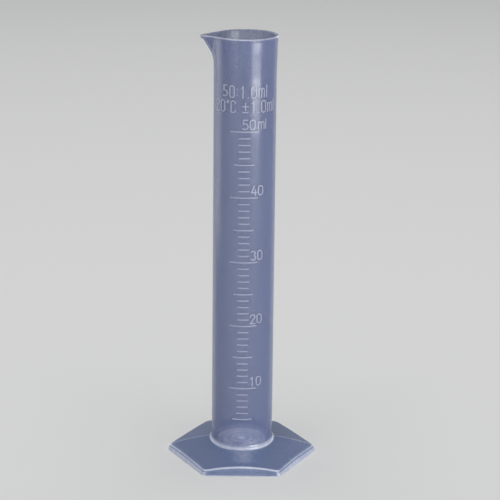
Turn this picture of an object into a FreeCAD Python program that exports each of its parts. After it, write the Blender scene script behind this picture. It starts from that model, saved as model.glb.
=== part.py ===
import FreeCAD, Part
import math
import os

import Sketcher

# A 50 ml measuring cylinder moulded in translucent polypropylene.
# +Z is up, the origin is the centre of the foot on the bench, the scale faces -Y
# and the pouring spout points along -X.  Lengths are millimetres, angles degrees.

Vector = FreeCAD.Vector
SHEET = "Sizes"
UP = Vector(0, 0, 1)
ORIGIN = Vector(0, 0, 0)

SIZES = {
    # the barrel
    "total_height": 171.5,
    "capacity": 50.0,
    "scale_headroom": 35.45,
    "bore_taper": 0.000826,
    "barrel_foot_wall": 1.225,
    "barrel_top_wall": 0.93,
    "inside_floor_level": 5.2,
    "inside_floor_thickness": 1.6,
    "inside_floor_corner": 1.0,
    "mouth_flare": 0.37,
    "mouth_flare_start": 15.0,
    "mouth_flare_end": 5.0,
    "rim_bead_height": 1.2,
    "rim_bead_proud": 0.4,
    # the pouring spout
    "spout_reach": 5.5,
    "spout_depth": 9.2,
    "spout_toe": 0.3,
    "spout_wall": 0.9,
    # the hexagonal foot
    "foot_across_flats": 53.0,
    "foot_ridge_height": 7.35,
    "foot_arch_radius": 85.0,
    "foot_top_slope": 9.0,
    "foot_side_draft": 20.0,
    "foot_corner_radius": 2.4,
    "foot_wall": 1.5,
    "collar_proud": 0.7,
    "collar_sink": 1.25,
    "collar_rise": 1.4,
    "collar_land": 0.25,
    "socket_clearance": 0.05,
    "socket_wall": 1.2,
    "ledge_width": 2.6,
    "ledge_thickness": 1.2,
    # the raised scale
    "mark_relief": 0.2,
    "line_width": 0.45,
    "short_line_length": 4.5,
    "middle_line_length": 7.7,
    "long_line_length": 10.8,
    "lowest_volume": 5.0,
    # the raised numerals and inscriptions
    "stroke_width": 0.46,
    "glyph_gap": 0.37,
    "numeral_height": 4.1,
    "numeral_lift": 0.75,
    "numeral_start": 2.65,
    "top_numeral_start": -0.95,
    "inscription_height": 4.9,
    "inscription_gap": 0.65,
    "inscription_narrowing": 0.75,
    "tolerance_lift": 7.2,
    "capacity_lift": 13.0,
}

doc = FreeCAD.newDocument("MeasuringCylinder")
sheet = doc.addObject("Spreadsheet::Sheet", SHEET)
for row, (alias, number) in enumerate(SIZES.items(), start=1):
    sheet.set(f"A{row}", alias)
    sheet.set(f"B{row}", str(number))
    sheet.setAlias(f"B{row}", alias)
doc.recompute()

# Sizes that several pieces share, each as one expression of the driving sizes.
FLARE_START = "(total_height - mouth_flare_start)"
FLARE_END = "(total_height - mouth_flare_end)"
# The bore holds the capacity between its floor and the top line, whatever the height.
SCALE_RUN = "(total_height - scale_headroom - inside_floor_level)"
BORE_FLOOR_RADIUS = f"(sqrt(1000 * capacity / (pi * {SCALE_RUN})) - bore_taper * {SCALE_RUN} / 2)"
BORE_TOP_RADIUS = f"({BORE_FLOOR_RADIUS} + bore_taper * ({FLARE_START} - inside_floor_level))"
BORE_MOUTH_RADIUS = f"({BORE_TOP_RADIUS} + mouth_flare)"
BARREL_FOOT_RADIUS = f"({BORE_FLOOR_RADIUS} + barrel_foot_wall)"
BARREL_TOP_RADIUS = f"({BORE_TOP_RADIUS} + barrel_top_wall)"
MOUTH_RADIUS = f"({BARREL_TOP_RADIUS} + mouth_flare)"
BEAD_RADIUS = "((rim_bead_height^2 / 4 + rim_bead_proud^2) / (2 * rim_bead_proud))"
BARREL_BOTTOM = "(inside_floor_level - inside_floor_thickness)"
SOCKET_RADIUS = f"({BARREL_FOOT_RADIUS} + socket_clearance)"
LEDGE_RADIUS = f"({SOCKET_RADIUS} - ledge_width)"
LEDGE_BOTTOM = f"({BARREL_BOTTOM} - ledge_thickness)"
COLLAR_RADIUS = f"({BARREL_FOOT_RADIUS} + collar_proud)"
COLLAR_BASE = "(foot_ridge_height - collar_sink)"
COLLAR_TOP = f"({COLLAR_BASE} + collar_rise)"
FOOT_CORNER_REACH = "(foot_across_flats / sqrt(3))"
SPOUT_TIP = f"({BARREL_TOP_RADIUS} + spout_reach)"
# Sine of the spout's half angle in plan: its sides touch the barrel's circle.
SPOUT_SINE = f"({BARREL_TOP_RADIUS} / {SPOUT_TIP})"
SPOUT_COSINE = f"sqrt(1 - {SPOUT_SINE}^2)"
# How far the channel's faces sit behind the outer ones, along X, for the wall wanted.
SPOUT_SET_BACK = (f"(spout_wall * sqrt(spout_depth^2 + (spout_reach * {SPOUT_SINE})^2)"
                  f" / (spout_depth * {SPOUT_SINE}))")


def sized(expression):
    """The expression with the name of every size written as a cell of the sheet."""
    text = ""
    word = ""
    for letter in expression + " ":
        if letter.isalnum() or letter == "_":
            word += letter
            continue
        text += f"{SHEET}.{word}" if word in SIZES else word
        text += letter
        word = ""
    return text.strip()


def value(expression):
    """The number that an expression in the sheet's sizes stands for."""
    number = sheet.evalExpression(sized(expression))
    return float(getattr(number, "Value", number))


def bind(thing, **expressions):
    """Bind an object's properties to expressions in the sheet's sizes; __ stands for a dot."""
    for name, expression in expressions.items():
        thing.setExpression(name.replace("__", "."), sized(expression))
    return thing


def new_body(label):
    """A sub-part built from sketches and features; its label names its file."""
    body = doc.addObject("PartDesign::Body", label)
    body.Label = label
    return body


def origin_plane(body, role):
    """One of a body's own origin planes, found by its role."""
    return next(item for item in body.Origin.OriginFeatures if item.Role == role)


def new_sketch(body, name, role, level=None):
    """An empty sketch on one of the body's origin planes, lifted to a level if one is given."""
    sketch = body.newObject("Sketcher::SketchObject", name)
    sketch.AttachmentSupport = (origin_plane(body, role), [""])
    sketch.MapMode = "FlatFace"
    if level:
        bind(sketch, AttachmentOffset__Base__z=level)
    return sketch


def fix_point(sketch, piece, end, across, along):
    """Hold one end of a sketched piece at two expressions measured from the sketch's origin."""
    for kind, expression, axis in (("DistanceX", across, -2), ("DistanceY", along, -1)):
        number = value(expression)
        if abs(number) < 1e-9:
            sketch.addConstraint(Sketcher.Constraint("PointOnObject", piece, end, axis))
            continue
        made = sketch.addConstraint(Sketcher.Constraint(kind, -1, 1, piece, end, number))
        sketch.setExpression(f"Constraints[{made}]", sized(expression))


def round_side(sketch, start, end, radius):
    """Add the anticlockwise arc from start to end and hold its radius."""
    chord = end - start
    size = value(radius)
    aside = Vector(chord.y, -chord.x, 0).normalize()
    sagitta = size - math.sqrt(size**2 - (chord.Length / 2) ** 2)
    piece = sketch.addGeometry(Part.Arc(start, (start + end) * 0.5 + aside * sagitta, end))
    made = sketch.addConstraint(Sketcher.Constraint("Radius", piece, size))
    sketch.setExpression(f"Constraints[{made}]", sized(radius))


def outline(sketch, corners, clockwise_arcs=()):
    """Close an outline through corners (x, y), or (x, y, radius of the arc to the next one).

    An arc runs anticlockwise unless its corner's number is in clockwise_arcs."""
    places = [Vector(value(corner[0]), value(corner[1]), 0) for corner in corners]
    ends = []
    for index, corner in enumerate(corners):
        start = places[index]
        end = places[(index + 1) % len(corners)]
        turned = index in clockwise_arcs
        if len(corner) == 2:
            sketch.addGeometry(Part.LineSegment(start, end))
        elif turned:
            round_side(sketch, end, start, corner[2])
        else:
            round_side(sketch, start, end, corner[2])
        ends.append((2, 1) if turned else (1, 2))
    for index, corner in enumerate(corners):
        following = (index + 1) % len(corners)
        joint = Sketcher.Constraint("Coincident", index, ends[index][1], following, ends[following][0])
        sketch.addConstraint(joint)
        fix_point(sketch, index, ends[index][0], corner[0], corner[1])
    return sketch


def turned_feature(body, kind, name, sketch):
    """Revolve a sketch a whole turn about the body's Z axis, to add or to cut."""
    feature = body.newObject(f"PartDesign::{kind}", name)
    feature.Profile = sketch
    feature.ReferenceAxis = (sketch, ["V_Axis"])
    feature.Angle = 360
    doc.recompute()
    return feature


def lofted_feature(body, kind, name, sections):
    """Loft straight sides through sketches, to add or to cut."""
    feature = body.newObject(f"PartDesign::{kind}", name)
    feature.Profile = sections[0]
    feature.Sections = sections[1:]
    feature.Ruled = True
    doc.recompute()
    return feature


# ------------------------------------------------------------------ the barrel


def spout_section(body, name, level, tip, set_back, size):
    """A triangle at one level whose two long sides lean on the barrel's circle.

    tip is how far out it points, set_back moves it towards the axis and size is the length
    of its sides."""
    near = f"(-{tip} + {set_back})"
    far = f"({near} + {size} * {SPOUT_COSINE})"
    aside = f"({size} * {SPOUT_SINE})"
    sketch = new_sketch(body, name, "XY_Plane", level)
    return outline(sketch, [(near, "0"), (far, f"(0 - {aside})"), (far, aside)])


def spout_sections(body, name, set_back):
    """The spout's section at the rim and the small one where its keel meets the wall."""
    side = f"({SPOUT_TIP} * {SPOUT_COSINE})"
    toe_level = "(total_height - spout_depth)"
    rim = spout_section(body, name + "_rim", "total_height", SPOUT_TIP, set_back, side)
    toe = spout_section(body, name + "_toe", toe_level, BARREL_TOP_RADIUS, set_back, "spout_toe")
    return [rim, toe]


def make_barrel():
    """The tube: a slightly drafted wall, closed floor, flared mouth, rim bead and spout."""
    body = new_body("barrel")
    wall = outline(new_sketch(body, "barrel_outside", "XZ_Plane"), [
        ("0", BARREL_BOTTOM),
        (BARREL_FOOT_RADIUS, BARREL_BOTTOM),
        (BARREL_FOOT_RADIUS, COLLAR_TOP),
        (BARREL_TOP_RADIUS, FLARE_START),
        (MOUTH_RADIUS, FLARE_END),
        (MOUTH_RADIUS, "(total_height - rim_bead_height)", BEAD_RADIUS),
        (MOUTH_RADIUS, "total_height"),
        ("0", "total_height"),
    ])
    turned_feature(body, "Revolution", "barrel_solid", wall)
    lofted_feature(body, "AdditiveLoft", "spout", spout_sections(body, "spout", "0"))
    bore = outline(new_sketch(body, "barrel_inside", "XZ_Plane"), [
        ("0", "inside_floor_level"),
        (f"({BORE_FLOOR_RADIUS} - inside_floor_corner)", "inside_floor_level", "inside_floor_corner"),
        (BORE_FLOOR_RADIUS, "(inside_floor_level + inside_floor_corner)"),
        (BORE_TOP_RADIUS, FLARE_START),
        (BORE_MOUTH_RADIUS, FLARE_END),
        (BORE_MOUTH_RADIUS, "(total_height + rim_bead_height)"),
        ("0", "(total_height + rim_bead_height)"),
    ])
    turned_feature(body, "Groove", "bore", bore)
    channel = spout_sections(body, "channel", SPOUT_SET_BACK)
    lofted_feature(body, "SubtractiveLoft", "spout_channel", channel)
    return body


# -------------------------------------------------------------------- the foot


def hexagon(sketch, reach):
    """A hexagon with two corners on the X axis."""
    corners = []
    for corner in range(6):
        turn = math.radians(60 * corner)
        corners.append((f"({reach} * {math.cos(turn):.9f})", f"({reach} * {math.sin(turn):.9f})"))
    return outline(sketch, corners)


def arch_fall(across):
    """How far the foot's arched ridge has fallen at a distance from the barrel's axis."""
    return f"(foot_arch_radius - sqrt(foot_arch_radius^2 - {across}^2))"


def sky_section(body, name, ridge, wide, away):
    """What lies above the arched top, at a distance in front of the ridge or behind it.

    ridge is the level of the arch at the barrel's axis and wide is half the section's width."""
    sketch = new_sketch(body, name, "XZ_Plane", away)
    crown = f"({ridge} - abs({away}) * tan(foot_top_slope))"
    side = f"({crown} - {arch_fall(wide)})"
    above = "(2 * foot_ridge_height)"
    return outline(sketch, [
        (wide, side, "foot_arch_radius"), (f"(0 - {wide})", side), (f"(0 - {wide})", above), (wide, above),
    ])


def drafted_block(label, reach, ridge):
    """A hexagonal block that narrows upwards, with round corners, under an arched roof.

    reach is from the axis to a corner on the bench; the roof's ridge is over the X axis."""
    body = new_body(label)
    wide = f"({reach} + foot_wall)"
    plan = hexagon(new_sketch(body, f"{label}_plan", "XY_Plane"), reach)
    block = body.newObject("PartDesign::Pad", f"{label}_prism")
    block.Profile = plan
    bind(block, Length=f"({ridge} + collar_rise)")
    doc.recompute()
    sides = [f"Face{number}" for number, face in enumerate(block.Shape.Faces, start=1)
             if abs(face.normalAt(0, 0).z) < 0.5]
    draft = body.newObject("PartDesign::Draft", f"{label}_sides")
    draft.Base = (block, sides)
    draft.NeutralPlane = (origin_plane(body, "XY_Plane"), [""])
    bind(draft, Angle="foot_side_draft")
    doc.recompute()
    corners = [f"Edge{number}" for number, edge in enumerate(draft.Shape.Edges, start=1)
               if edge.BoundBox.ZLength > 0.5]
    rounding = body.newObject("PartDesign::Fillet", f"{label}_corners")
    rounding.Base = (draft, corners)
    bind(rounding, Radius="foot_corner_radius")
    doc.recompute()
    for side, away in (("front", wide), ("back", f"(0 - {wide})")):
        sections = [sky_section(body, f"{label}_{side}_ridge", ridge, wide, "0"),
                    sky_section(body, f"{label}_{side}_eave", ridge, wide, away)]
        lofted_feature(body, "SubtractiveLoft", f"{label}_{side}_roof", sections)
    return body


def joined(kind, label, base, tool):
    """A boolean of two solids."""
    result = doc.addObject(kind, label)
    result.Label = label
    result.Base = base
    result.Tool = tool
    doc.recompute()
    return result


def make_foot():
    """The foot: an arched hexagonal shell with a collar and a socket that the barrel sits in."""
    outside = drafted_block("foot_outside", FOOT_CORNER_REACH, "foot_ridge_height")
    hollow_reach = f"({FOOT_CORNER_REACH} - foot_wall / (cos(foot_side_draft) * cos(30)))"
    hollow = drafted_block("foot_hollow", hollow_reach, "(foot_ridge_height - foot_wall)")
    shell = joined("Part::Cut", "foot_shell", outside, hollow)
    ring_radius = f"({SOCKET_RADIUS} + socket_wall)"
    # the ring ends inside the shell: above its hollow at the ridge, below its top at the front
    under_ridge = f"(foot_ridge_height - foot_wall - {arch_fall(ring_radius)})"
    front_top = f"(foot_ridge_height - {ring_radius} * tan(foot_top_slope))"
    ring_top = f"(({under_ridge} + {front_top}) / 2)"
    ring = new_body("socket_ring")
    turned_feature(ring, "Revolution", "socket_wall", outline(new_sketch(ring, "socket", "XZ_Plane"), [
        (LEDGE_RADIUS, LEDGE_BOTTOM),
        (ring_radius, LEDGE_BOTTOM),
        (ring_radius, ring_top),
        (COLLAR_RADIUS, COLLAR_BASE),
        (f"({SOCKET_RADIUS} + collar_land)", COLLAR_TOP),
        (LEDGE_RADIUS, COLLAR_TOP),
    ]))
    seat = new_body("socket_seat")
    turned_feature(seat, "Revolution", "seat_room", outline(new_sketch(seat, "seat", "XZ_Plane"), [
        ("0", "(0 - foot_wall)"),
        (LEDGE_RADIUS, "(0 - foot_wall)"),
        (LEDGE_RADIUS, BARREL_BOTTOM),
        (SOCKET_RADIUS, BARREL_BOTTOM),
        (SOCKET_RADIUS, f"({COLLAR_TOP} + collar_rise)"),
        ("0", f"({COLLAR_TOP} + collar_rise)"),
    ]))
    with_ring = joined("Part::Fuse", "foot_with_ring", shell, ring)
    return joined("Part::Cut", "hex_base", with_ring, seat)


# ------------------------------------------------------------- the raised scale


def height_of(volume):
    """The level, as an expression, that a volume in millilitres reaches in the drafted bore."""
    cubed = f"{BORE_FLOOR_RADIUS}^3 + 3 * bore_taper * {1000 * volume} / pi"
    return f"(inside_floor_level + (cbrt({cubed}) - {BORE_FLOOR_RADIUS}) / bore_taper)"


def make_skin():
    """The thin sleeve around the barrel that every raised mark is cut from."""
    cones = []
    for name, relief in (("skin_outside", "mark_relief"), ("skin_inside", "0")):
        cone = doc.addObject("Part::Cone", name)
        bind(cone, Radius1=f"({BARREL_FOOT_RADIUS} + {relief})",
             Radius2=f"({BARREL_TOP_RADIUS} + {relief})",
             Height=f"({FLARE_START} - {COLLAR_TOP})",
             Placement__Base__z=COLLAR_TOP)
        cones.append(cone)
    skin = doc.addObject("Part::Cut", "skin")
    skin.Base, skin.Tool = cones
    doc.recompute()
    return skin


def make_lines(label, volumes, length, skin):
    """One set of equal graduation lines, raised on the barrel at their volumes' levels."""
    bars = []
    for volume in volumes:
        bar = doc.addObject("Part::Box", f"{label}_{volume}")
        bind(bar, Length=length, Width=f"({BARREL_FOOT_RADIUS} + 2 * mark_relief)", Height="line_width",
             Placement__Base__x=f"(0 - {length} / 2)",
             Placement__Base__y=f"(0 - {BARREL_FOOT_RADIUS} - 2 * mark_relief)",
             Placement__Base__z=f"({height_of(volume)} - line_width / 2)")
        bars.append(bar)
    rack = doc.addObject("Part::Compound", f"{label}_bars")
    rack.Links = bars
    lines = doc.addObject("Part::Common", label)
    lines.Label = label
    lines.Base = rack
    lines.Tool = skin
    doc.recompute()
    return lines


def arc(middle, end):
    """A stroke's next piece: an arc through middle to end."""
    return ("arc", middle, end)


# Each character as the centre lines of its strokes, in a box one unit high.  A stroke is a
# start point followed by points or arcs; a single point is a dot.
DIGIT_WIDTH = 0.54
GLYPHS = {
    "0": (0.54, [[(0, 0.3), (0, 0.7), arc((0.27, 1), (0.54, 0.7)), (0.54, 0.3),
                  arc((0.27, 0), (0, 0.3))]]),
    "1": (0.54, [[(0.1, 0.8), (0.3, 1), (0.3, 0)]]),
    "2": (0.54, [[(0.02, 0.74), arc((0.28, 1), (0.52, 0.68)), (0, 0), (0.54, 0)]]),
    "3": (0.54, [[(0.05, 0.86), arc((0.45, 0.88), (0.38, 0.56)), (0.39, 0.5),
                  arc((0.5, 0.16), (0.02, 0.14))]]),
    "4": (0.54, [[(0.3, 1), (0, 0.3), (0.54, 0.3)], [(0.42, 0.62), (0.42, 0)]]),
    "5": (0.54, [[(0.5, 1), (0.06, 1), (0.03, 0.55), arc((0.54, 0.33), (0, 0.12))]]),
    "6": (0.54, [[(0, 0.28), arc((0.27, 0.58), (0.54, 0.28)), arc((0.27, 0), (0, 0.28))],
                 [(0, 0.28), arc((0.1, 0.76), (0.42, 1))]]),
    "7": (0.54, [[(0, 1), (0.54, 1), (0.18, 0)]]),
    "8": (0.54, [[(0, 0.27), arc((0.27, 0.54), (0.54, 0.27)), arc((0.27, 0), (0, 0.27))],
                 [(0.05, 0.77), arc((0.27, 1), (0.49, 0.77)), arc((0.27, 0.54), (0.05, 0.77))]]),
    "9": (0.54, [[(0, 0.72), arc((0.27, 1), (0.54, 0.72)), arc((0.27, 0.42), (0, 0.72))],
                 [(0.54, 0.72), arc((0.44, 0.24), (0.12, 0))]]),
    "m": (0.72, [[(0, 0), (0, 0.76)], [(0.03, 0.5), arc((0.19, 0.76), (0.36, 0.55)), (0.36, 0)],
                 [(0.39, 0.5), arc((0.55, 0.76), (0.72, 0.55)), (0.72, 0)]]),
    "l": (0.0, [[(0, 0), (0, 1)]]),
    ":": (0.08, [[(0.04, 0.22)], [(0.04, 0.72)]]),
    ".": (0.08, [[(0.04, 0.02)]]),
    "°": (0.2, [[(0, 0.9), arc((0.1, 1), (0.2, 0.9)), arc((0.1, 0.8), (0, 0.9))]]),
    "C": (0.54, [[(0.52, 0.8), arc((0.27, 1), (0, 0.7)), (0, 0.3), arc((0.27, 0), (0.52, 0.2))]]),
    "±": (0.62, [[(0.31, 0.25), (0.31, 0.85)], [(0, 0.55), (0.62, 0.55)], [(0, 0.05), (0.62, 0.05)]]),
    " ": (0.2, []),
}


def stroke_face(stroke, wide, tall, width):
    """The flat face, in the XZ plane, of one stroke of a character."""
    def place(point):
        return Vector(point[0] * wide, 0, point[1] * tall)

    here = place(stroke[0])
    if len(stroke) == 1:
        return Part.Face(Part.Wire(Part.makeCircle(0.6 * width, here, Vector(0, -1, 0))))
    pieces = []
    for step in stroke[1:]:
        if step[0] == "arc":
            there = place(step[2])
            pieces.append(Part.Arc(here, place(step[1]), there).toShape())
        else:
            there = place(step)
            pieces.append(Part.LineSegment(here, there).toShape())
        here = there
    if len(pieces) == 1:
        return bar_face(place(stroke[0]), here, width)
    wire = Part.Wire(pieces)
    if not wire.isClosed():
        return Part.Face(wire.makeOffset2D(width / 2))
    outside = wire.makeOffset2D(width / 2)
    inside = wire.makeOffset2D(-width / 2)
    return Part.Face(outside).cut(Part.Face(inside)).Faces[0]


def bar_face(start, end, width):
    """The flat face of one straight stroke with round ends."""
    along = (end - start).normalize()
    aside = Vector(-along.z, 0, along.x) * (width / 2)
    corners = (start + aside, end + aside, end - aside, start - aside)
    tips = (end + along * (width / 2), start - along * (width / 2))
    return Part.Face(Part.Wire([
        Part.LineSegment(corners[0], corners[1]).toShape(),
        Part.Arc(corners[1], tips[0], corners[2]).toShape(),
        Part.LineSegment(corners[2], corners[3]).toShape(),
        Part.Arc(corners[3], tips[1], corners[0]).toShape(),
    ]))


def glyph_solid(letter, wide, tall, width, depth):
    """A character as a prism that runs from the barrel's axis out past its wall, along -Y."""
    prisms = [stroke_face(stroke, wide, tall, width).extrude(Vector(0, -depth, 0))
              for stroke in GLYPHS[letter][1]]
    return prisms[0].multiFuse(prisms[1:]) if len(prisms) > 1 else prisms[0]


def make_text(label, text, height, level, skin, gap, narrowing="1", start=None):
    """A line of characters wrapped around the barrel at one level.

    start is where the first one begins, along the wall to the right of the scale's centre
    line; without it the line is centred there."""
    width = value("stroke_width")
    tall = value(height) - width
    wide = tall * value(narrowing)
    space = value(gap)
    radius = value(BARREL_FOOT_RADIUS)
    spans = [GLYPHS[letter][0] * wide + width for letter in text]
    length = sum(spans) + space * (len(text) - 1)
    edge = value(start) if start else -length / 2
    solids = []
    for letter, span in zip(text, spans):
        if GLYPHS[letter][1]:
            solid = glyph_solid(letter, wide, tall, width, radius + 2 * value("mark_relief"))
            solid.translate(Vector(-(span - width) / 2, 0, value(level) + width / 2))
            solid.rotate(ORIGIN, UP, math.degrees((edge + span / 2) / radius))
            solids += solid.common(skin.Shape).Solids
        edge += span + space
    mark = doc.addObject("Part::Feature", label)
    mark.Label = label
    mark.Shape = Part.Compound(solids)
    return mark


def make_marks():
    """Every raised mark on the barrel."""
    skin = make_skin()
    volumes = range(int(value("lowest_volume")), int(value("capacity")) + 1)
    fives = [volume for volume in volumes if volume % 10 == 5]
    tens = [volume for volume in volumes if volume % 10 == 0]
    ones = [volume for volume in volumes if volume % 5]
    marks = [
        make_lines("lines_1ml", ones, "short_line_length", skin),
        make_lines("lines_5ml", fives, "middle_line_length", skin),
        make_lines("lines_10ml", tens, "long_line_length", skin),
    ]
    for volume in tens:
        top = volume == tens[-1]
        level = f"({height_of(volume)} + numeral_lift)"
        start = "top_numeral_start" if top else "numeral_start"
        marks.append(make_text(f"numeral_{volume}", str(volume), "numeral_height", level, skin,
                               "glyph_gap", start=start))
    digits = f"(2 * ({DIGIT_WIDTH} * (numeral_height - stroke_width) + stroke_width + glyph_gap))"
    full = height_of(tens[-1])
    marks.append(make_text("unit_ml", "ml", "numeral_height", f"({full} + numeral_lift)", skin,
                           "glyph_gap", start=f"(top_numeral_start + {digits} + glyph_gap)"))
    for label, text, lift in (("tolerance_inscription", "20°C ±1.0ml", "tolerance_lift"),
                              ("capacity_inscription", f"{tens[-1]}:1.0ml", "capacity_lift")):
        marks.append(make_text(label, text, "inscription_height", f"({full} + {lift})", skin,
                               "inscription_gap", "inscription_narrowing"))
    return marks


# -------------------------------------------------------------------- check, write


def check_document(parts):
    """Stop unless every object is computed and every sub-part is a valid solid."""
    for item in doc.Objects:
        if any(word in state for state in item.State for word in ("Invalid", "Error")):
            raise RuntimeError(f"{item.Label} failed: {item.State}")
    for part in parts:
        if part.Shape.isNull() or not part.Shape.isValid() or not part.Shape.Solids:
            raise RuntimeError(f"{part.Label} is not a valid solid")


parts = [make_barrel(), make_foot(), *make_marks()]
doc.recompute()
check_document(parts)
os.makedirs("parts", exist_ok=True)
for part in parts:
    part.Shape.exportStep(f"parts/{part.Label}.step")
    solids = len(part.Shape.Solids)
    box = part.Shape.BoundBox
    print(f"{part.Label}: {solids} solid(s), {part.Shape.Volume / 1000:.3f} cm3, "
          f"z {box.ZMin:.2f} to {box.ZMax:.2f}, x {box.XMin:.2f} to {box.XMax:.2f}")
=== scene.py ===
"""A 50 ml measuring cylinder moulded in natural polypropylene, standing on its hexagonal foot.

All sizes in the classes are millimetres and all angles degrees, unless a name says otherwise;
the meshes are made in metres.  The foot stands on z = 0, the tube's axis is z, the raised scale
faces -Y and the pouring spout points along -X.
"""

import logging
import math
from dataclasses import dataclass, field, replace
from enum import Enum

import bmesh
import bpy
import numpy as np
from mathutils import Matrix, Vector


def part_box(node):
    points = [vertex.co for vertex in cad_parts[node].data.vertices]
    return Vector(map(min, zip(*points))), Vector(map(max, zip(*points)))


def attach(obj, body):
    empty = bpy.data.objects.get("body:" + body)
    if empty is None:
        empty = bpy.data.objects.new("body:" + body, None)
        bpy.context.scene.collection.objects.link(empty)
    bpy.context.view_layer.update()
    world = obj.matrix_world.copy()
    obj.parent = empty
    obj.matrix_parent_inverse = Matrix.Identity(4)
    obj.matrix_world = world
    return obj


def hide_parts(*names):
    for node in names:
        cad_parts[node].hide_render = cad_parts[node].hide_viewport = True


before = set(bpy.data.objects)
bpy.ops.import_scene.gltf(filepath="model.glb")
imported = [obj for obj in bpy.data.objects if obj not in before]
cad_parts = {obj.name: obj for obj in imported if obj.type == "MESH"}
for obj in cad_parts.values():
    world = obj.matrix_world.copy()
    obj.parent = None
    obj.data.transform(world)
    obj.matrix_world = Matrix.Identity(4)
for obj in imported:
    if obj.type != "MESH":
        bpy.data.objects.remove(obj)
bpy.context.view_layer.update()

MM = 0.001
HAZE = "haze"
log = logging.getLogger("measuring_cylinder")


class Slot(Enum):
    """The record's material slots for the two skins; the raised marks keep the CAD's own."""

    BARREL = "barrel_polypropylene"
    FOOT = "foot_polypropylene"


class Stroke(Enum):
    """How boldly a raised mark stands out of the tube."""

    LINE = "line"
    NUMERAL = "numeral"
    INSCRIPTION = "inscription"


class Lit(Enum):
    """What a soft box lights."""

    ALL = "everything"
    OBJECT = "the cylinder alone"
    TABLE = "the table alone"


# ----------------------------------------------------------------- small helpers


def linear(shade: str) -> tuple[float, float, float, float]:
    """The linear colour of an sRGB hex shade.

    Args:
        shade: six hex digits, such as "8A93B5".

    Returns:
        Red, green, blue and an alpha of 1.
    """
    parts = []
    for start in (0, 2, 4):
        level = int(shade[start:start + 2], 16) / 255
        parts.append(level / 12.92 if level <= 0.04045 else ((level + 0.055) / 1.055) ** 2.4)
    return (parts[0], parts[1], parts[2], 1.0)


def add_node(tree: bpy.types.NodeTree, kind: str, settings: dict | None = None,
             links: dict | None = None) -> bpy.types.Node:
    """Adds one node to a tree.

    Args:
        tree: the tree the node goes in.
        kind: the node's type name.
        settings: values by the name of a property, or by the name or number of an input.
        links: output sockets by the name or number of the input they go to.

    Returns:
        The new node.
    """
    node = tree.nodes.new(kind)
    for key, value in (settings or {}).items():
        if isinstance(key, str) and hasattr(node, key):
            setattr(node, key, value)
        else:
            node.inputs[key].default_value = value
    for key, socket in (links or {}).items():
        tree.links.new(socket, node.inputs[key])
    return node


def cad_edge(node: str, corner: int, axis: int) -> float:
    """A CAD node's lowest (corner 0) or highest (corner 1) coordinate on an axis, in millimetres."""
    return round(float(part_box(node)[corner][axis]) / MM, 3)


def smooth_step(start: float, end: float, value: np.ndarray | float) -> np.ndarray | float:
    """An S-shaped rise from 0 at start to 1 at end."""
    share = np.clip((value - start) / (end - start), 0.0, 1.0)
    return share * share * (3 - 2 * share)


def eased_ramp(start: float, end: float, ease: float, value: np.ndarray | float) -> np.ndarray | float:
    """A straight rise from 0 at start to 1 at end, whose first part, the ease, bends into it."""
    share = np.clip((value - start) / (end - start), 0.0, 1.0)
    return np.where(share < ease, share ** 2 / (2 * ease), share - ease / 2) / (1 - ease / 2)


def bump(distance: np.ndarray | float, width: float) -> np.ndarray | float:
    """A bell of height 1 about zero distance."""
    return np.exp(-(distance / width) ** 2)


def soft_max(first: np.ndarray, second: np.ndarray, blend: np.ndarray | float) -> np.ndarray:
    """The larger of two lengths, with the corner between them filled over the blend length."""
    share = np.clip(blend - np.abs(first - second), 0.0, None) / blend
    return np.maximum(first, second) + share * share * blend / 4


def bowed(start: np.ndarray, corner: np.ndarray, end: np.ndarray, share: float) -> np.ndarray:
    """A point on the curve that rounds a corner, from start at share 0 to end at share 1."""
    return (1 - share) ** 2 * start + 2 * share * (1 - share) * corner + share ** 2 * end


# ------------------------------------------------------------------- the skins


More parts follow.
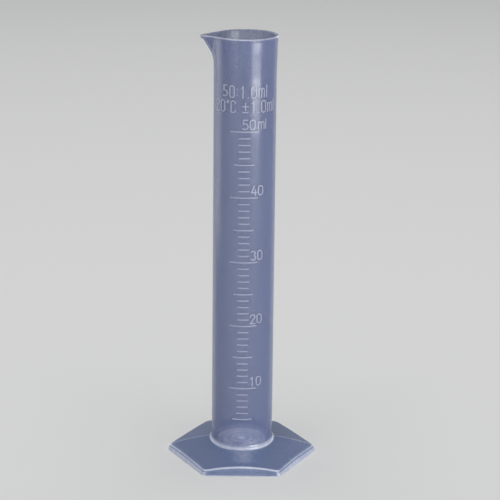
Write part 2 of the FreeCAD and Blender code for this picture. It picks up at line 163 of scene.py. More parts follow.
@dataclass
class Skin:
    """A closed skin made of rows of points that each go once around the tube's axis.

    Haze is how much plastic lies behind the surface, 0 on the plain wall and 1 on a bead; in places it is
    raised to paint light and shade.
    Above 1 the surface also glows with painted light, an emission that no lamp gives.
    """

    turns: np.ndarray
    rows: list[np.ndarray] = field(default_factory=list)
    haze: list[np.ndarray] = field(default_factory=list)

    def add(self, radius: np.ndarray | float, level: np.ndarray | float,
            haze: np.ndarray | float = 0.0) -> None:
        """Adds one row.

        Args:
            radius: how far out each point is.
            level: how high each point is.
            haze: how much plastic lies behind each point, or painted light and shade there.
        """
        count = len(self.turns)
        radius = np.broadcast_to(np.asarray(radius, float), (count,))
        level = np.broadcast_to(np.asarray(level, float), (count,))
        ring = np.stack([radius * np.cos(self.turns), radius * np.sin(self.turns), level], axis=1)
        self.rows.append(ring)
        self.haze.append(np.broadcast_to(np.asarray(haze, float), (count,)).copy())

    def build(self, name: str, first_pole: float | None, last_pole: float | None) -> bpy.types.Object:
        """Makes the mesh object.

        Args:
            name: the piece's name.
            first_pole: the level of the centre point that closes the first row, or None.
            last_pole: the same for the last row; with no poles the last row joins the first.

        Returns:
            The new object, linked to the scene.
        """
        count = len(self.turns)
        points = [tuple(point) for ring in self.rows for point in ring * MM]
        haze = [float(value) for ring in self.haze for value in ring]
        faces = []
        last = len(self.rows) - 1
        closed = first_pole is None
        for row in range(len(self.rows) if closed else last):
            low, high = row * count, ((row + 1) % len(self.rows)) * count
            for column in range(count):
                beside = (column + 1) % count
                faces.append((low + column, low + beside, high + beside, high + column))
        if not closed:
            for pole, row in ((first_pole, 0), (last_pole, last)):
                points.append((0.0, 0.0, pole * MM))
                haze.append(haze[row * count])
                faces += [(len(points) - 1, row * count + column, row * count + (column + 1) % count)
                          for column in range(count)]
        mesh = bpy.data.meshes.new(name)
        mesh.from_pydata(points, [], faces)
        shell = bmesh.new()
        shell.from_mesh(mesh)
        bmesh.ops.recalc_face_normals(shell, faces=shell.faces)
        shell.to_mesh(mesh)
        shell.free()
        mesh.shade_smooth()
        depth = mesh.attributes.new(HAZE, "FLOAT", "POINT")
        depth.data.foreach_set("value", haze)
        piece = bpy.data.objects.new(name, mesh)
        bpy.context.scene.collection.objects.link(piece)
        return piece


def spaced(*runs: tuple[float, float, float]) -> np.ndarray:
    """Angles in radians, from runs of (first, last, step) in degrees, without repeats."""
    angles = set()
    for first, last, step in runs:
        count = max(1, round((last - first) / step))
        angles.update(round(first + (last - first) * part / count, 5) % 360 for part in range(count + 1))
    return np.radians(sorted(angles))


# ----------------------------------------------------------------- the finishes


@dataclass(frozen=True)
class NaturalPolypropylene:
    """Unpigmented polypropylene, injection moulded in a polished steel mould.

    Its crystals scatter light, so a thin wall looks like thin milk, bluish where one looks
    through it, and a bead or a rib, with more plastic behind the skin, looks whiter.  Melt
    that met the cold mould leaves faint streaks along the flow and a soft, waxy gloss.
    """

    name: str
    wall_shade: str
    bead_shade: str
    wall_cover: float
    bead_cover: float
    slant_cover: float = 0.9
    slant_blend: float = 0.35
    roughness: float = 0.24
    gloss: float = 0.9
    refraction: float = 1.49
    white_from: float = 0.25
    cloud_size: float = 9.0
    cloud_share: float = 0.10
    streak_width: float = 1.6
    streak_length: float = 60.0
    streak_share: float = 0.06
    speck_spacing: float = 11.0
    speck_size: float = 0.8
    speck_share: float = 0.9
    ripple_size: float = 7.0
    ripple_depth: float = 0.02
    grain_size: float = 0.5
    grain_depth: float = 0.0001

    def dress(self, piece: bpy.types.Object) -> bpy.types.Material:
        """Makes the finish and puts it on a piece.

        Args:
            piece: the object to dress, whose mesh may carry the haze attribute.

        Returns:
            The new material.
        """
        material = self.mix()
        piece.data.materials.clear()
        piece.data.materials.append(material)
        return material

    def mix(self) -> bpy.types.Material:
        """Makes the material's nodes.

        Returns:
            The new material.
        """
        material = bpy.data.materials.new(self.name)
        material.use_nodes = True
        tree = material.node_tree
        tree.nodes.clear()
        place = add_node(tree, "ShaderNodeTexCoord").outputs["Object"]
        # Clouds: crystals grow unevenly as a thick section cools.
        clouds = add_node(tree, "ShaderNodeTexNoise",
                          {"Scale": 1 / (self.cloud_size * MM), "Detail": 3.0, "Roughness": 0.55},
                          {"Vector": place}).outputs["Fac"]
        # Streaks: the melt's flow along the tube, far longer than wide.
        along = add_node(tree, "ShaderNodeMapping",
                         {"Scale": (1.0, 1.0, self.streak_width / self.streak_length)},
                         {"Vector": place}).outputs["Vector"]
        streaks = add_node(tree, "ShaderNodeTexNoise",
                           {"Scale": 1 / (self.streak_width * MM), "Detail": 2.0},
                           {"Vector": along}).outputs["Fac"]
        grain = add_node(tree, "ShaderNodeTexNoise",
                         {"Scale": 1 / (self.grain_size * MM), "Detail": 2.0},
                         {"Vector": place}).outputs["Fac"]
        depth = add_node(tree, "ShaderNodeAttribute", {"attribute_name": HAZE}).outputs["Fac"]
        # Specks: small unmelted or dusty grains, a handful over the whole tube.
        specks = add_node(tree, "ShaderNodeTexVoronoi", {"Scale": 1 / (self.speck_spacing * MM)},
                          {"Vector": place}).outputs["Distance"]
        speck = add_node(tree, "ShaderNodeMapRange",
                         {"From Min": 0.5 * self.speck_size / self.speck_spacing, "From Max": 0.0,
                          "To Max": self.speck_share}, {"Value": specks}).outputs[0]
        uneven = self.total(tree, [(clouds, self.cloud_share), (streaks, self.streak_share)])
        uneven = add_node(tree, "ShaderNodeMath", {"operation": "ADD"}, {0: uneven, 1: speck}).outputs[0]
        thick = add_node(tree, "ShaderNodeMath", {"operation": "ADD", "use_clamp": True},
                         {0: depth, 1: uneven}).outputs[0]
        # A little more plastic only hides what is behind it; a lot of it looks white.
        white = add_node(tree, "ShaderNodeMapRange", {"From Min": self.white_from, "From Max": 1.0},
                         {"Value": thick}).outputs[0]
        colour = add_node(tree, "ShaderNodeMix",
                          {"data_type": "RGBA", 6: linear(self.wall_shade), 7: linear(self.bead_shade)},
                          {0: white}).outputs[2]
        slant = add_node(tree, "ShaderNodeLayerWeight", {"Blend": self.slant_blend}).outputs["Facing"]
        # A slanting look goes through more of the wall, so it sees more milk.
        cover = add_node(tree, "ShaderNodeMapRange",
                         {"From Max": 1.0, "To Min": self.wall_cover, "To Max": self.slant_cover},
                         {"Value": slant}).outputs[0]
        room = add_node(tree, "ShaderNodeMapRange",
                        {"To Min": 0.0, "To Max": self.bead_cover - self.wall_cover},
                        {"Value": thick}).outputs[0]
        cover = add_node(tree, "ShaderNodeMath", {"operation": "ADD", "use_clamp": True},
                         {0: cover, 1: room}).outputs[0]
        ripple = add_node(tree, "ShaderNodeTexNoise",
                          {"Scale": 1 / (self.ripple_size * MM), "Detail": 1.0},
                          {"Vector": place}).outputs["Fac"]
        relief = self.total(tree, [(ripple, self.ripple_depth), (grain, self.grain_depth)])
        normal = add_node(tree, "ShaderNodeBump", {"Strength": 1.0, "Distance": 1.0 * MM},
                          {"Height": relief}).outputs["Normal"]
        sheen = add_node(tree, "ShaderNodeMapRange",
                         {"To Min": self.roughness * 0.8, "To Max": self.roughness * 1.3},
                         {"Value": clouds}).outputs[0]
        # Painted light: haze above 1 makes the surface glow, to brighten the spout's keel and the floor
        # inside.
        glow = add_node(tree, "ShaderNodeMapRange", {"From Min": 1.0, "From Max": 2.0},
                        {"Value": depth}).outputs[0]
        surface = add_node(tree, "ShaderNodeBsdfPrincipled",
                           {"IOR": self.refraction, "Specular IOR Level": self.gloss,
                            "Emission Color": linear(self.bead_shade)},
                           {"Base Color": colour, "Roughness": sheen, "Alpha": cover,
                            "Emission Strength": glow, "Normal": normal}).outputs[0]
        add_node(tree, "ShaderNodeOutputMaterial", None, {"Surface": surface})
        return material

    @staticmethod
    def total(tree: bpy.types.NodeTree,
              shares: list[tuple[bpy.types.NodeSocket, float]]) -> bpy.types.NodeSocket:
        """Adds up textures, each centred on zero and scaled.

        Args:
            tree: the tree the nodes go in.
            shares: each texture's output and its share.

        Returns:
            The sum's socket.
        """
        result = None
        for socket, share in shares:
            scaled = add_node(tree, "ShaderNodeMapRange",
                              {"From Min": 0.25, "From Max": 0.75, "To Min": -share, "To Max": share,
                               "clamp": False}, {"Value": socket}).outputs[0]
            if result is None:
                result = scaled
            else:
                result = add_node(tree, "ShaderNodeMath", {"operation": "ADD"},
                                  {0: result, 1: scaled}).outputs[0]
        return result


BARREL_FINISH = NaturalPolypropylene(
    name="moulded_polypropylene_tube", wall_shade="69759F", bead_shade="DDE0EE",
    wall_cover=0.42, bead_cover=0.90, roughness=0.21)
FOOT_FINISH = NaturalPolypropylene(
    name="moulded_polypropylene_foot", wall_shade="7888AE", bead_shade="DDE0EE",
    wall_cover=0.55, bead_cover=0.92, streak_length=8.0, cloud_size=14.0)
LINE_FINISH = NaturalPolypropylene(
    name="raised_scale_line", wall_shade="9DA2B9", bead_shade="B4B9CC",
    wall_cover=0.92, bead_cover=0.97, cloud_size=3.0, cloud_share=0.2, roughness=0.38, gloss=0.8)
MARK_FINISHES = {
    Stroke.LINE: LINE_FINISH,
    Stroke.NUMERAL: replace(LINE_FINISH, name="raised_numeral", cloud_size=2.0, cloud_share=0.3),
    Stroke.INSCRIPTION: replace(LINE_FINISH, name="raised_inscription", wall_shade="A0A5BA",
                                wall_cover=0.9, cloud_share=0.3),
}


# ------------------------------------------------------------------- the pieces


@dataclass
class Barrel:
    """The graduated tube: drafted wall, closed floor, flared mouth, rim bead and spout."""

    height: float = cad_edge("barrel", 1, 2)
    bottom: float = cad_edge("barrel", 0, 2) + 0.03
    foot_radius: float = 12.2
    base_radii: tuple[float, ...] = (0.9, 2.0, 4.0, 6.0, 8.0, 10.0, 11.6)
    base_edge: tuple[tuple[float, float], ...] = (
        (11.95, 0.02), (12.12, 0.09), (12.19, 0.24), (12.2, 0.5))
    top_radius: float = 12.03
    collar_level: float = 7.5
    bore_floor_radius: float = 10.975
    bore_top_radius: float = 11.10
    floor_level: float = 5.2
    floor_corner: float = 1.0
    flare: float = 0.37
    flare_start: float = 16.0
    flare_end: float = 1.2
    flare_ease: float = 0.25
    bead_height: float = 1.25
    # the bead outside the rim, and the rounding inside it: how far out, how far up, how hazy
    bead_outline: tuple[tuple[float, float], ...] = (
        (0.0, -1.25), (0.11, -1.13), (0.26, -0.97), (0.36, -0.78), (0.38, -0.56), (0.34, -0.33),
        (0.23, -0.14), (0.06, -0.03), (-0.12, 0.0))
    lip_outline: tuple[tuple[float, float, float], ...] = (
        (0.16, 0.0, 0.5), (0.05, -0.05, 0.5), (0.0, -0.2, 0.4))
    spout_tip: float = 18.1
    spout_slope: float = 0.629
    spout_depth: float = 12.0
    spout_dip: float = 0.42
    spout_blend: float = 0.9
    crease_blend: float = 0.35
    blend_angle: float = 9.0
    keel_round: float = 0.45
    keel_width: float = 0.8
    channel_set_in: float = 0.974
    channel_blend: float = 0.6
    parting_proud: float = 0.07
    parting_width: float = 0.16
    ring_radii: tuple[float, ...] = (9.35, 6.9, 3.9)
    ring_height: float = 0.16
    ring_width: float = 0.35
    gate_radius: float = 1.5
    gate_height: float = 0.22
    # how hazy the thicker places are; the mouth's haze paints shade inside it, and haze above 1 on the
    # keel, the floor and its rings paints glow
    base_haze: float = 0.5
    keel_haze_and_painted_glow: float = 1.35
    crease_haze: float = 0.45
    back_line_haze: float = 0.35
    tip_line_haze: float = 0.25
    rim_haze: float = 0.1
    bead_haze: float = 0.65
    mouth_painted_shade: float = 0.3
    floor_haze_and_painted_glow: float = 1.35
    ring_haze_and_painted_glow: float = 2.4

    def __post_init__(self) -> None:
        """Works out what each column of the mesh has of the spout and the mould's parting lines."""
        self.touch_turn = math.acos(self.top_radius / self.spout_tip)
        self.turns = spaced((178.5, 181.5, 0.3), (172, 188, 0.5), (112, 248, 0.8), (248, 358, 2.0),
                            (2, 112, 2.0), (358.2, 361.8, 0.3))
        self.from_tip = np.abs(np.angle(np.exp(1j * (self.turns - math.pi))))
        from_back = np.abs(np.angle(np.exp(1j * self.turns)))
        rounding = self.keel_round / self.spout_tip
        self.aside = np.sqrt(self.from_tip ** 2 + rounding ** 2) - 0.35 * rounding
        near_tip = bump(self.from_tip, math.radians(self.blend_angle))
        self.blend = self.crease_blend + (self.spout_blend - self.crease_blend) * near_tip
        self.back_line = bump(from_back * self.top_radius, self.parting_width)
        self.tip_line = bump(self.from_tip * self.top_radius, self.parting_width)

    def tube(self, level: np.ndarray, low: float, high: float) -> np.ndarray:
        """The plain tube's radius, which flares near the mouth.

        Args:
            level: heights.
            low: the radius at the collar.
            high: the radius where the flare starts.

        Returns:
            The radius at each height.
        """
        start = self.height - self.flare_start
        run = np.clip((level - self.collar_level) / (start - self.collar_level), 0, 1)
        flare = eased_ramp(start, self.height - self.flare_end, self.flare_ease, level)
        return low + (high - low) * run + self.flare * flare

    def spout(self, level: np.ndarray, set_in: float) -> np.ndarray:
        """How far out the spout's two flat sides are.

        Args:
            level: heights.
            set_in: how far the sides are moved towards the axis, along their own normals.

        Returns:
            The radius of the sides in each direction, and 0 beside the spout.
        """
        fall = self.spout_slope * math.cos(self.touch_turn)
        depth = self.height - level
        side = self.top_radius - set_in - fall * depth
        reach = side / np.cos(np.minimum(self.aside - self.touch_turn, 1.2))
        return np.where(self.aside < self.touch_turn, reach, 0.0)

    def sunk(self, level: float) -> np.ndarray:
        """A row's levels, where the rim sinks towards the tip of the spout.

        Args:
            level: the row's height on the plain tube.

        Returns:
            The height of each of its points.
        """
        rise = self.top_radius / np.cos(np.clip(self.aside - self.touch_turn, -1.2, 0)) - self.top_radius
        share = np.where(self.aside < self.touch_turn, rise / (self.spout_tip - self.top_radius), 0.0)
        dip = self.spout_dip * share
        return level - dip * smooth_step(self.height - self.spout_depth, self.height, level)

    def outside(self, level: np.ndarray) -> tuple[np.ndarray, np.ndarray]:
        """The outer surface.

        Args:
            level: heights.

        Returns:
            The radius, and how far each point belongs to the spout, from 0 to 1.
        """
        tube = self.tube(level, self.foot_radius, self.top_radius)
        tube = tube + self.parting_proud * (self.back_line + self.tip_line)
        spout = self.spout(level, 0.0)
        return soft_max(tube, spout, self.blend), np.clip((spout - tube) / 0.8, 0, 1)

    def inside(self, level: np.ndarray) -> np.ndarray:
        """The inner surface's radius at each height."""
        tube = self.tube(level, self.bore_floor_radius, self.bore_top_radius)
        return soft_max(tube, self.spout(level, self.channel_set_in), self.channel_blend)

    def wall_levels(self) -> np.ndarray:
        """The rows' heights, closer together at the spout."""
        spout_end = self.height - self.spout_depth
        return np.concatenate([
            np.linspace(self.bottom + 1.0, spout_end - 5.5, 44),
            np.linspace(spout_end - 4.5, spout_end, 8),
            np.linspace(spout_end + 0.3, self.height - self.bead_height - 0.1, 36)])

    def add_base(self, skin: Skin) -> None:
        """Adds the underside and its rounded edge."""
        for radius in self.base_radii:
            skin.add(radius, self.bottom, self.base_haze)
        for radius, rise in self.base_edge:
            skin.add(radius, self.bottom + rise, self.base_haze)

    def add_outer_wall(self, skin: Skin) -> None:
        """Adds the outer wall with the spout and the parting lines."""
        crease_end = self.height - self.spout_depth + 1.0
        lines = np.maximum(self.back_line_haze * self.back_line, self.tip_line_haze * self.tip_line)
        for level in self.wall_levels():
            row = self.sunk(level)
            radius, proud = self.outside(row)
            low = 0.15 * smooth_step(22.0, 9.0, level) + 0.4 * smooth_step(9.5, 6.5, level)
            # Painted light: the keel's haze goes above 1, so the spout's edge glows.
            keel = self.keel_haze_and_painted_glow * bump(self.from_tip * radius, self.keel_width) * proud
            on_spout = (self.from_tip < self.touch_turn) * (level > crease_end)
            crease = self.crease_haze * bump(proud - 0.35, 0.35) * on_spout
            skin.add(radius, row, np.maximum.reduce([np.full_like(radius, low), keel, crease, lines]))

    def add_rim(self, skin: Skin) -> None:
        """Adds the bead outside the rim and the small rounding inside it."""
        rim = self.sunk(self.height)
        for out, down in self.bead_outline:
            radius, proud = self.outside(rim + down)
            haze = self.rim_haze + self.bead_haze * smooth_step(-0.8, -0.1, down)
            skin.add(radius + out * (1 - 0.7 * proud), rim + down, haze)
        lip = self.inside(rim)
        for out, down, haze in self.lip_outline:
            skin.add(lip + out, rim + down, haze)

    def add_inner_wall(self, skin: Skin) -> None:
        """Adds the inner wall, from the rim down to the floor's corner."""
        for level in [self.height - 0.5, self.height - 0.9, *self.wall_levels()[::-1]]:
            if level < self.floor_level + self.floor_corner + 0.2:
                continue
            near_floor = 0.5 * smooth_step(self.floor_level + 3.0, self.floor_level + 0.8, level)
            # Painted shade: more cover on the inner wall below the rim darkens the inside of the mouth.
            painted_mouth_shade = self.mouth_painted_shade * smooth_step(self.height - 24.0, self.height - 12.0, level)
            row = self.sunk(level)
            skin.add(self.inside(row), row, max(near_floor, painted_mouth_shade))

    def add_floor(self, skin: Skin) -> None:
        """Adds the floor inside, with its rounded corner, the cutter's rings and the gate's spot."""
        # Painted light: the floor, the inner rows of its corner and its rings get haze above 1, so they
        # glow.
        corner = self.floor_corner
        for step in range(7):
            turn = math.pi / 2 * step / 6
            skin.add(self.bore_floor_radius - corner + corner * math.cos(turn),
                     self.floor_level + corner - corner * math.sin(turn), 0.75 + 0.5 * step / 6)
        for radius in np.linspace(self.bore_floor_radius - corner - 0.125, 0.6, 50):
            rise = sum(self.ring_height * bump(radius - ring, self.ring_width)
                       for ring in self.ring_radii)
            rise += self.gate_height * smooth_step(self.gate_radius + 0.4, self.gate_radius - 0.2, radius)
            skin.add(radius, self.floor_level + rise, self.floor_haze_and_painted_glow + self.ring_haze_and_painted_glow * rise)

    def build(self) -> bpy.types.Object:
        """Makes the tube's mesh.

        Returns:
            The new object.
        """
        skin = Skin(self.turns)
        self.add_base(skin)
        self.add_outer_wall(skin)
        self.add_rim(skin)
        self.add_inner_wall(skin)
        self.add_floor(skin)
        return skin.build("graduated_tube", self.bottom, self.floor_level + 0.2)


@dataclass
class Foot:
    """The hexagonal foot: a thin arched shell, its collar, and the socket that holds the tube."""

    apothem: float = cad_edge("hex_base", 1, 1)
    side_slope: float = 20.0
    corner_radius: float = 2.4
    wall: float = 1.5
    ridge_level: float = 7.35
    arch_radius: float = 85.0
    top_slope: float = 0.159
    ridge_proud: float = 0.09
    ridge_width: float = 0.20
    painted_reflection_width: float = 7.0
    edge_round: float = 0.75
    bottom_round: float = 0.3
    collar_inner: float = 12.28
    collar_land: float = 12.4
    collar_radii: tuple[float, ...] = (12.45, 12.5, 12.56, 12.63, 12.7, 12.78, 12.86, 12.92, 12.98, 13.03,
                                       13.08, 13.14, 13.22, 13.35, 13.5)
    collar_top: float = 7.25
    collar_rise: float = 1.1
    collar_edge: float = 12.92
    collar_level: float = 6.12
    hollow_round: float = 0.8
    socket_wall: float = 13.45
    ledge_radius: float = 9.65
    ledge_level: float = 3.6
    ledge_bottom: float = 2.4
    # how hazy the thicker places are, with painted light on the foot's side walls and a painted
    # reflection on its top
    painted_reflection_haze: float = 0.42
    ridge_haze: float = 0.8
    painted_side_light_haze: float = 0.62
    corner_haze: float = 0.7
    edge_haze: float = 0.6
    bottom_haze: float = 0.9
    collar_haze: float = 0.35
    collar_ring_haze: float = 0.4
    roof_haze: float = 0.05
    socket_haze: float = 0.5
    ledge_haze: float = 0.6

    def __post_init__(self) -> None:
        """Works out what each column of the mesh has of the corners and of the walls with painted side
        light.
        """
        runs = [(60 * side + 3.4, 60 * side + 56.6, 2.8) for side in range(6)]
        runs += [(60 * corner - 3.4, 60 * corner + 3.4, 0.425) for corner in range(6)]
        runs += [(side - 1.2, side + 1.2, 0.15) for side in (0, 180)]
        self.turns = spaced(*runs)
        self.from_corner = np.abs((self.turns + math.pi / 6) % (math.pi / 3) - math.pi / 6)
        self.at_corner = bump(self.from_corner, math.radians(3.0))
        # painted light: the four walls beside the front and back walls come out whiter, as if lit by the
        # side lamps
        from_ridge = np.degrees(np.arcsin(np.abs(np.sin(self.turns))))
        self.painted_side_light = smooth_step(30.5, 28.0, np.abs(from_ridge - 30.0))

    def plan(self, level: np.ndarray | float, inset: float) -> np.ndarray:
        """The hexagon's radius in the direction of each column.

        Args:
            level: heights, as the sides lean in.
            inset: how far the sides are moved in.

        Returns:
            The radius to the hexagon with its rounded corners.
        """
        apothem = self.apothem - inset - np.tan(math.radians(self.side_slope)) * level
        from_flat = math.pi / 6 - self.from_corner
        rounding = max(self.corner_radius - inset, 0.6)
        centre = (apothem - rounding) / math.cos(math.pi / 6)
        start = np.arctan((apothem - rounding) * math.tan(math.pi / 6) / apothem)
        inner = np.clip(rounding ** 2 - (centre * np.sin(self.from_corner)) ** 2, 0, None)
        arc = centre * np.cos(self.from_corner) + np.sqrt(inner)
        return np.where(from_flat > start, arc, apothem / np.cos(from_flat))

    def top(self, radius: np.ndarray | float) -> np.ndarray:
        """The level of the arched top, a roof whose ridge is the mould's parting line."""
        across = radius * np.cos(self.turns)
        along = radius * np.sin(self.turns)
        slope = self.top_slope * (np.sqrt(along ** 2 + 0.04) - 0.2)
        return self.ridge_level - (across ** 2 / (2 * self.arch_radius) + slope)

    def ridge(self, radius: np.ndarray | float) -> np.ndarray:
        """How far each point belongs to the fine bead along the ridge."""
        return bump(radius * np.sin(self.turns), self.ridge_width)

    def edge(self, inset: float, drop: float) -> tuple[np.ndarray, np.ndarray]:
        """Where the top meets the sides.

        Args:
            inset: how far the sides are moved in.
            drop: how far the top is moved down.

        Returns:
            The radius and the level of the edge in each direction.
        """
        level = np.full_like(self.turns, 3.0)
        for _ in range(30):
            level = 0.5 * level + 0.5 * (self.top(self.plan(level, inset)) - drop)
        return self.plan(level, inset), level

    def add_collar(self, skin: Skin) -> None:
        """Adds the collar, a fillet that thickens where it meets the tube."""
        skin.add(self.collar_inner, self.collar_top - 0.1, 0.2)
        skin.add(self.collar_inner + 0.06, self.collar_top, 0.2)
        skin.add(self.collar_land, self.collar_top, 0.2)
        for radius in self.collar_radii:
            inner = self.collar_rise * (max(self.collar_edge - radius, 0) / 0.47) ** 2.2
            outer = 40 * max(radius - self.collar_edge, 0) ** 2
            ring = np.full_like(self.turns, self.collar_level + inner - outer)
            level = np.minimum(soft_max(self.top(radius), ring, 0.15), self.collar_top - 0.03)
            haze = self.collar_haze + self.collar_ring_haze * bump(radius - self.collar_edge, 0.3)
            haze = np.maximum(haze * smooth_step(14.0, 13.2, radius), 0.6 * self.ridge(radius))
            skin.add(radius, level, haze)

    def add_top(self, skin: Skin) -> None:
        """Adds the arched top, whiter on its ridge, with a painted reflection: a lighter band across its
        middle, in front of and behind the tube.
        """
        edge_radius, _ = self.edge(0.0, 0.0)
        start = self.collar_radii[-1]
        sideways = smooth_step(0.3, 0.8, np.abs(np.sin(self.turns)))
        for step in range(1, 27):
            share = step / 26
            radius = start + (edge_radius - self.edge_round - start) * share
            near_edge = np.full_like(self.turns, 0.25 * smooth_step(0.9, 1.0, share))
            # Painted reflection: a lighter band across the middle of the top, in front of and behind the
            # tube.
            painted_reflection = self.painted_reflection_haze * bump(radius * np.cos(self.turns), self.painted_reflection_width)
            painted_reflection = painted_reflection * smooth_step(1.05, 0.6, share) * sideways
            skin.add(radius, self.top(radius) + self.ridge_proud * self.ridge(radius),
                     np.maximum.reduce([self.ridge_haze * self.ridge(radius), near_edge, painted_reflection]))

    def add_sides(self, skin: Skin) -> None:
        """Adds the rounded edge of the top, the leaning sides and the rounded edge at the bench."""
        edge_radius, edge_level = self.edge(0.0, 0.0)
        inner = edge_radius - self.edge_round
        side_level = edge_level - 0.62 * self.edge_round
        side_radius = self.plan(side_level, 0.0)
        for step in range(1, 9):
            share = step / 8
            rounding = 0.3 + self.edge_haze * math.sin(math.pi * share)
            skin.add(bowed(inner, edge_radius, side_radius, share),
                     bowed(self.top(inner), edge_level, side_level, share),
                     rounding * (1 - 0.35 * self.painted_side_light))
        # Painted light on the four walls beside the front and back ones, and haze on the corners.
        painted_side_light_and_corner_haze = np.maximum(self.painted_side_light_haze * self.painted_side_light, self.corner_haze * self.at_corner)
        for share in (0.3, 0.6, 0.85, 1.0):
            level = side_level + (self.bottom_round - side_level) * share
            skin.add(self.plan(level, 0.0), level, painted_side_light_and_corner_haze)
        low_radius, bottom_radius = self.plan(self.bottom_round, 0.0), self.plan(0.0, 0.0)
        bench = np.zeros_like(self.turns)
        for step in range(1, 6):
            share = step / 5
            skin.add(bowed(low_radius, bottom_radius, bottom_radius - self.bottom_round, share),
                     bowed(bench + self.bottom_round, bench, bench, share), self.bottom_haze)

    def add_hollow(self, skin: Skin) -> None:
        """Adds the flat rim that the foot stands on, and the hollow under its top."""
        inset = self.wall / math.cos(math.radians(self.side_slope))
        in_radius, in_level = self.edge(inset, self.wall)
        skin.add(self.plan(0.0, inset) + 0.15, 0.0, 0.6)
        skin.add(self.plan(0.1, inset), 0.12, 0.3)
        for share in (0.3, 0.6):
            skin.add(self.plan(in_level * share, inset), in_level * share, 0.1)
        low = in_level - 0.75 * self.hollow_round
        side, roof = self.plan(low, inset), in_radius - self.hollow_round
        for step in range(5):
            share = step / 4
            skin.add(bowed(side, in_radius, roof, share),
                     bowed(low, in_level, self.top(roof) - self.wall, share), 0.3)
        for step in range(1, 16):
            radius = roof + (self.socket_wall + 0.5 - roof) * step / 15
            skin.add(radius, self.top(radius) - self.wall, self.roof_haze)

    def add_socket(self, skin: Skin) -> None:
        """Adds the socket's ring and the ledge that the tube stands on."""
        roof = self.top(self.socket_wall) - self.wall
        bore = self.collar_inner - 0.02
        for radius, level, haze in (
                (self.socket_wall + 0.15, roof - 0.12, self.socket_haze),
                (self.socket_wall, roof - 0.5, self.socket_haze),
                (self.socket_wall, self.ledge_bottom + 0.3, self.socket_haze),
                (self.socket_wall - 0.08, self.ledge_bottom + 0.08, self.ledge_haze),
                (self.socket_wall - 0.3, self.ledge_bottom, self.ledge_haze),
                (self.ledge_radius + 0.2, self.ledge_bottom, self.ledge_haze),
                (self.ledge_radius, self.ledge_bottom + 0.2, self.ledge_haze),
                (self.ledge_radius, self.ledge_level - 0.2, self.socket_haze),
                (self.ledge_radius + 0.2, self.ledge_level, self.socket_haze),
                (bore - 0.08, self.ledge_level, self.socket_haze),
                (bore, self.ledge_level + 0.1, self.socket_haze),
                (bore, 0.5 * (self.ledge_level + self.collar_top), 0.7)):
            skin.add(radius, level, haze)

    def build(self) -> bpy.types.Object:
        """Makes the foot's mesh.

        Returns:
            The new object.
        """
        skin = Skin(self.turns)
        self.add_collar(skin)
        self.add_top(skin)
        self.add_sides(skin)
        self.add_hollow(skin)
        self.add_socket(skin)
        return skin.build("hexagonal_foot", None, None)


@dataclass
class RaisedMarks:
    """The scale's lines, numerals and inscriptions, which stand 0.2 mm out of the tube."""

    nodes: dict[str, Stroke] = field(default_factory=lambda: {
        "lines_1ml": Stroke.LINE, "lines_5ml": Stroke.LINE, "lines_10ml": Stroke.LINE,
        "numeral_10": Stroke.NUMERAL, "numeral_20": Stroke.NUMERAL, "numeral_30": Stroke.NUMERAL,
        "numeral_40": Stroke.NUMERAL, "numeral_50": Stroke.NUMERAL, "unit_ml": Stroke.NUMERAL,
        "tolerance_inscription": Stroke.INSCRIPTION, "capacity_inscription": Stroke.INSCRIPTION})

    def dress(self) -> list[bpy.types.Object]:
        """Gives every raised mark its finish.

        Returns:
            The marks' objects.
        """
        finishes = {stroke: finish.mix() for stroke, finish in MARK_FINISHES.items()}
        pieces = []
        for name, stroke in self.nodes.items():
            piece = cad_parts[name]
            for slot in piece.material_slots:
                slot.link = "OBJECT"
                slot.material = finishes[stroke]
            pieces.append(piece)
        return pieces


# -------------------------------------------------------------------- the studio


@dataclass(frozen=True)
class SoftBox:
    """A plain white soft box that faces the object, beside it or overhead.

    Azimuth is counted from the front, positive to the right; level is the box's middle; tall is
    its other side, which an overhead box lays flat; brightness is its own radiance, where 1 is
    white.
    """

    name: str
    azimuth: float
    distance: float
    level: float
    width: float
    tall: float
    brightness: float
    aim_level: float = 85.0
    lights: Lit = Lit.ALL

    def hang(self, lit: dict[Lit, bpy.types.Collection]) -> bpy.types.Object:
        """Makes the lamp, which the camera doesn't see.

        Args:
            lit: what each kind of lamp lights, where that is not everything.

        Returns:
            The lamp's object.
        """
        turn = math.radians(self.azimuth)
        place = Vector((self.distance * math.sin(turn), -self.distance * math.cos(turn), self.level)) * MM
        lamp = bpy.data.lights.new(self.name, "AREA")
        lamp.shape = "RECTANGLE"
        lamp.size = self.width * MM
        lamp.size_y = self.tall * MM
        lamp.energy = self.brightness * math.pi * lamp.size * lamp.size_y
        holder = bpy.data.objects.new(self.name, lamp)
        look = Vector((0, 0, self.aim_level * MM)) - place
        face = look.to_track_quat("-Z", "Y").to_matrix().to_4x4()
        holder.matrix_world = Matrix.Translation(place) @ face
        holder.visible_camera = False
        bpy.context.scene.collection.objects.link(holder)
        if self.lights in lit:
            holder.light_linking.receiver_collection = lit[self.lights]
        return holder


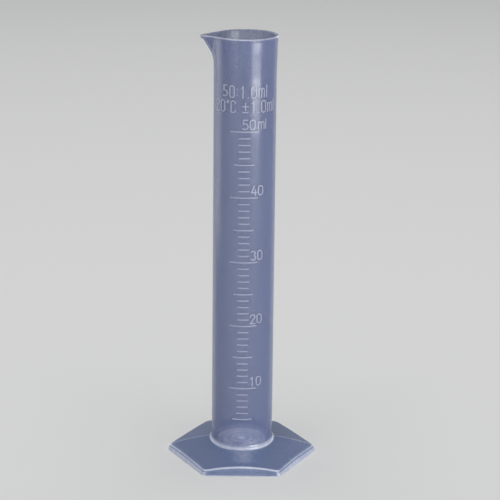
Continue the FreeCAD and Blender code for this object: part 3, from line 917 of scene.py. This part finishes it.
@dataclass
class Studio:
    """The pale table, the soft boxes around it, the even sky and the camera."""

    table_size: float = 12000.0
    table_drop: float = 0.02
    table_shade: str = "E2E2E0"
    sky_shade: str = "E8ECF2"
    sky_strength: float = 0.22
    camera_place: tuple[float, float, float] = (0.0, -636.2, 277.1)
    camera_pitch: float = 16.75
    camera_yaw: float = 0.23
    camera_roll: float = 0.62
    focal_length: float = 120.77
    sensor_width: float = 36.0
    boxes: tuple[SoftBox, ...] = (
        SoftBox("front_strip", 41.5, 600, 96, 350, 108, 16.0, aim_level=96.0, lights=Lit.OBJECT),
        SoftBox("left_band", -112.0, 300, 102.5, 160, 195, 1.3, aim_level=100.0, lights=Lit.OBJECT),
        SoftBox("front_fill", 0.0, 900, 650, 500, 400, 5.4, lights=Lit.OBJECT),
        SoftBox("left_fill", -45.0, 900, 600, 500, 400, 2.9, lights=Lit.OBJECT),
        SoftBox("back_left_fill", -145.0, 900, 240, 500, 360, 2.7, lights=Lit.OBJECT),
        SoftBox("back_right_fill", 145.0, 900, 240, 500, 360, 2.7, lights=Lit.OBJECT),
        SoftBox("ceiling", 0.0, 1, 2200.5, 2600, 2600, 0.5),
        SoftBox("table_wash", 0.0, 1, 2210.5, 2600, 2600, 1.75, lights=Lit.TABLE),
    )

    def lay_table(self) -> bpy.types.Object:
        """Makes the table top.

        Returns:
            The table's object.
        """
        mesh = bpy.data.meshes.new("table_top")
        sheet = bmesh.new()
        bmesh.ops.create_grid(sheet, x_segments=24, y_segments=24, size=self.table_size / 2 * MM)
        sheet.to_mesh(mesh)
        sheet.free()
        table = bpy.data.objects.new("table_top", mesh)
        table.location.z = -self.table_drop * MM
        bpy.context.scene.collection.objects.link(table)
        material = bpy.data.materials.new("matt_card")
        material.use_nodes = True
        tree = material.node_tree
        tree.nodes.clear()
        surface = add_node(tree, "ShaderNodeBsdfPrincipled",
                           {"Base Color": linear(self.table_shade), "Roughness": 0.85,
                            "Specular IOR Level": 0.2}).outputs[0]
        add_node(tree, "ShaderNodeOutputMaterial", None, {"Surface": surface})
        mesh.materials.append(material)
        return table

    def light(self, pieces: list[bpy.types.Object], table: bpy.types.Object) -> list[bpy.types.Object]:
        """Hangs the soft boxes and sets the sky.

        Args:
            pieces: the object's pieces, which some boxes light alone.
            table: the table top, which one box lights alone.

        Returns:
            The lamps' objects.
        """
        lit = {}
        for kind, members in ((Lit.OBJECT, pieces), (Lit.TABLE, [table])):
            lit[kind] = bpy.data.collections.new(kind.name.lower())
            for member in members:
                lit[kind].objects.link(member)
        world = bpy.data.worlds.new("studio_sky")
        world.use_nodes = True
        tree = world.node_tree
        tree.nodes.clear()
        glow = add_node(tree, "ShaderNodeBackground",
                        {"Color": linear(self.sky_shade), "Strength": self.sky_strength}).outputs[0]
        add_node(tree, "ShaderNodeOutputWorld", None, {"Surface": glow})
        bpy.context.scene.world = world
        return [box.hang(lit) for box in self.boxes]

    def place_camera(self) -> bpy.types.Object:
        """Makes the camera and gives it to the scene.

        Returns:
            The camera's object.
        """
        pitch, yaw, roll = (math.radians(angle) for angle in
                            (self.camera_pitch, self.camera_yaw, self.camera_roll))
        ahead = Vector((math.sin(yaw) * math.cos(pitch), math.cos(yaw) * math.cos(pitch),
                        -math.sin(pitch)))
        right = Vector((math.cos(yaw), -math.sin(yaw), 0.0))
        up = right.cross(ahead)
        across = math.cos(roll) * right + math.sin(roll) * up
        upward = -math.sin(roll) * right + math.cos(roll) * up
        lens = bpy.data.cameras.new("camera")
        lens.lens = self.focal_length
        lens.sensor_width = self.sensor_width
        lens.clip_start = 0.01
        lens.clip_end = 50.0
        camera = bpy.data.objects.new("camera", lens)
        turn = Matrix((across, upward, -ahead)).transposed().to_4x4()
        camera.matrix_world = Matrix.Translation(Vector(self.camera_place) * MM) @ turn
        bpy.context.scene.collection.objects.link(camera)
        bpy.context.scene.camera = camera
        return camera


def main() -> None:
    """Builds the cylinder and its studio, and reports each piece."""
    logging.basicConfig(level=logging.INFO, format="%(name)s: %(message)s")
    studio = Studio()
    studio.place_camera()
    table = studio.lay_table()
    scene = bpy.context.scene
    scene.view_settings.view_transform = "Standard"
    # one look through the tube crosses its walls, the foot and many raised marks
    scene.cycles.transparent_max_bounces = 48
    pieces = []
    for part, finish, node, slot in ((Barrel(), BARREL_FINISH, "barrel", Slot.BARREL),
                                     (Foot(), FOOT_FINISH, "hex_base", Slot.FOOT)):
        piece = part.build()
        finish.dress(piece)
        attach(piece, "root")
        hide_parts(node)
        pieces.append(piece)
    pieces += RaisedMarks().dress()
    for piece in pieces:
        log.info("%s: %d faces", piece.name, len(piece.data.polygons))
    log.info("studio with %d soft boxes", len(studio.light(pieces, table)))


if __name__ == "__main__":
    main()
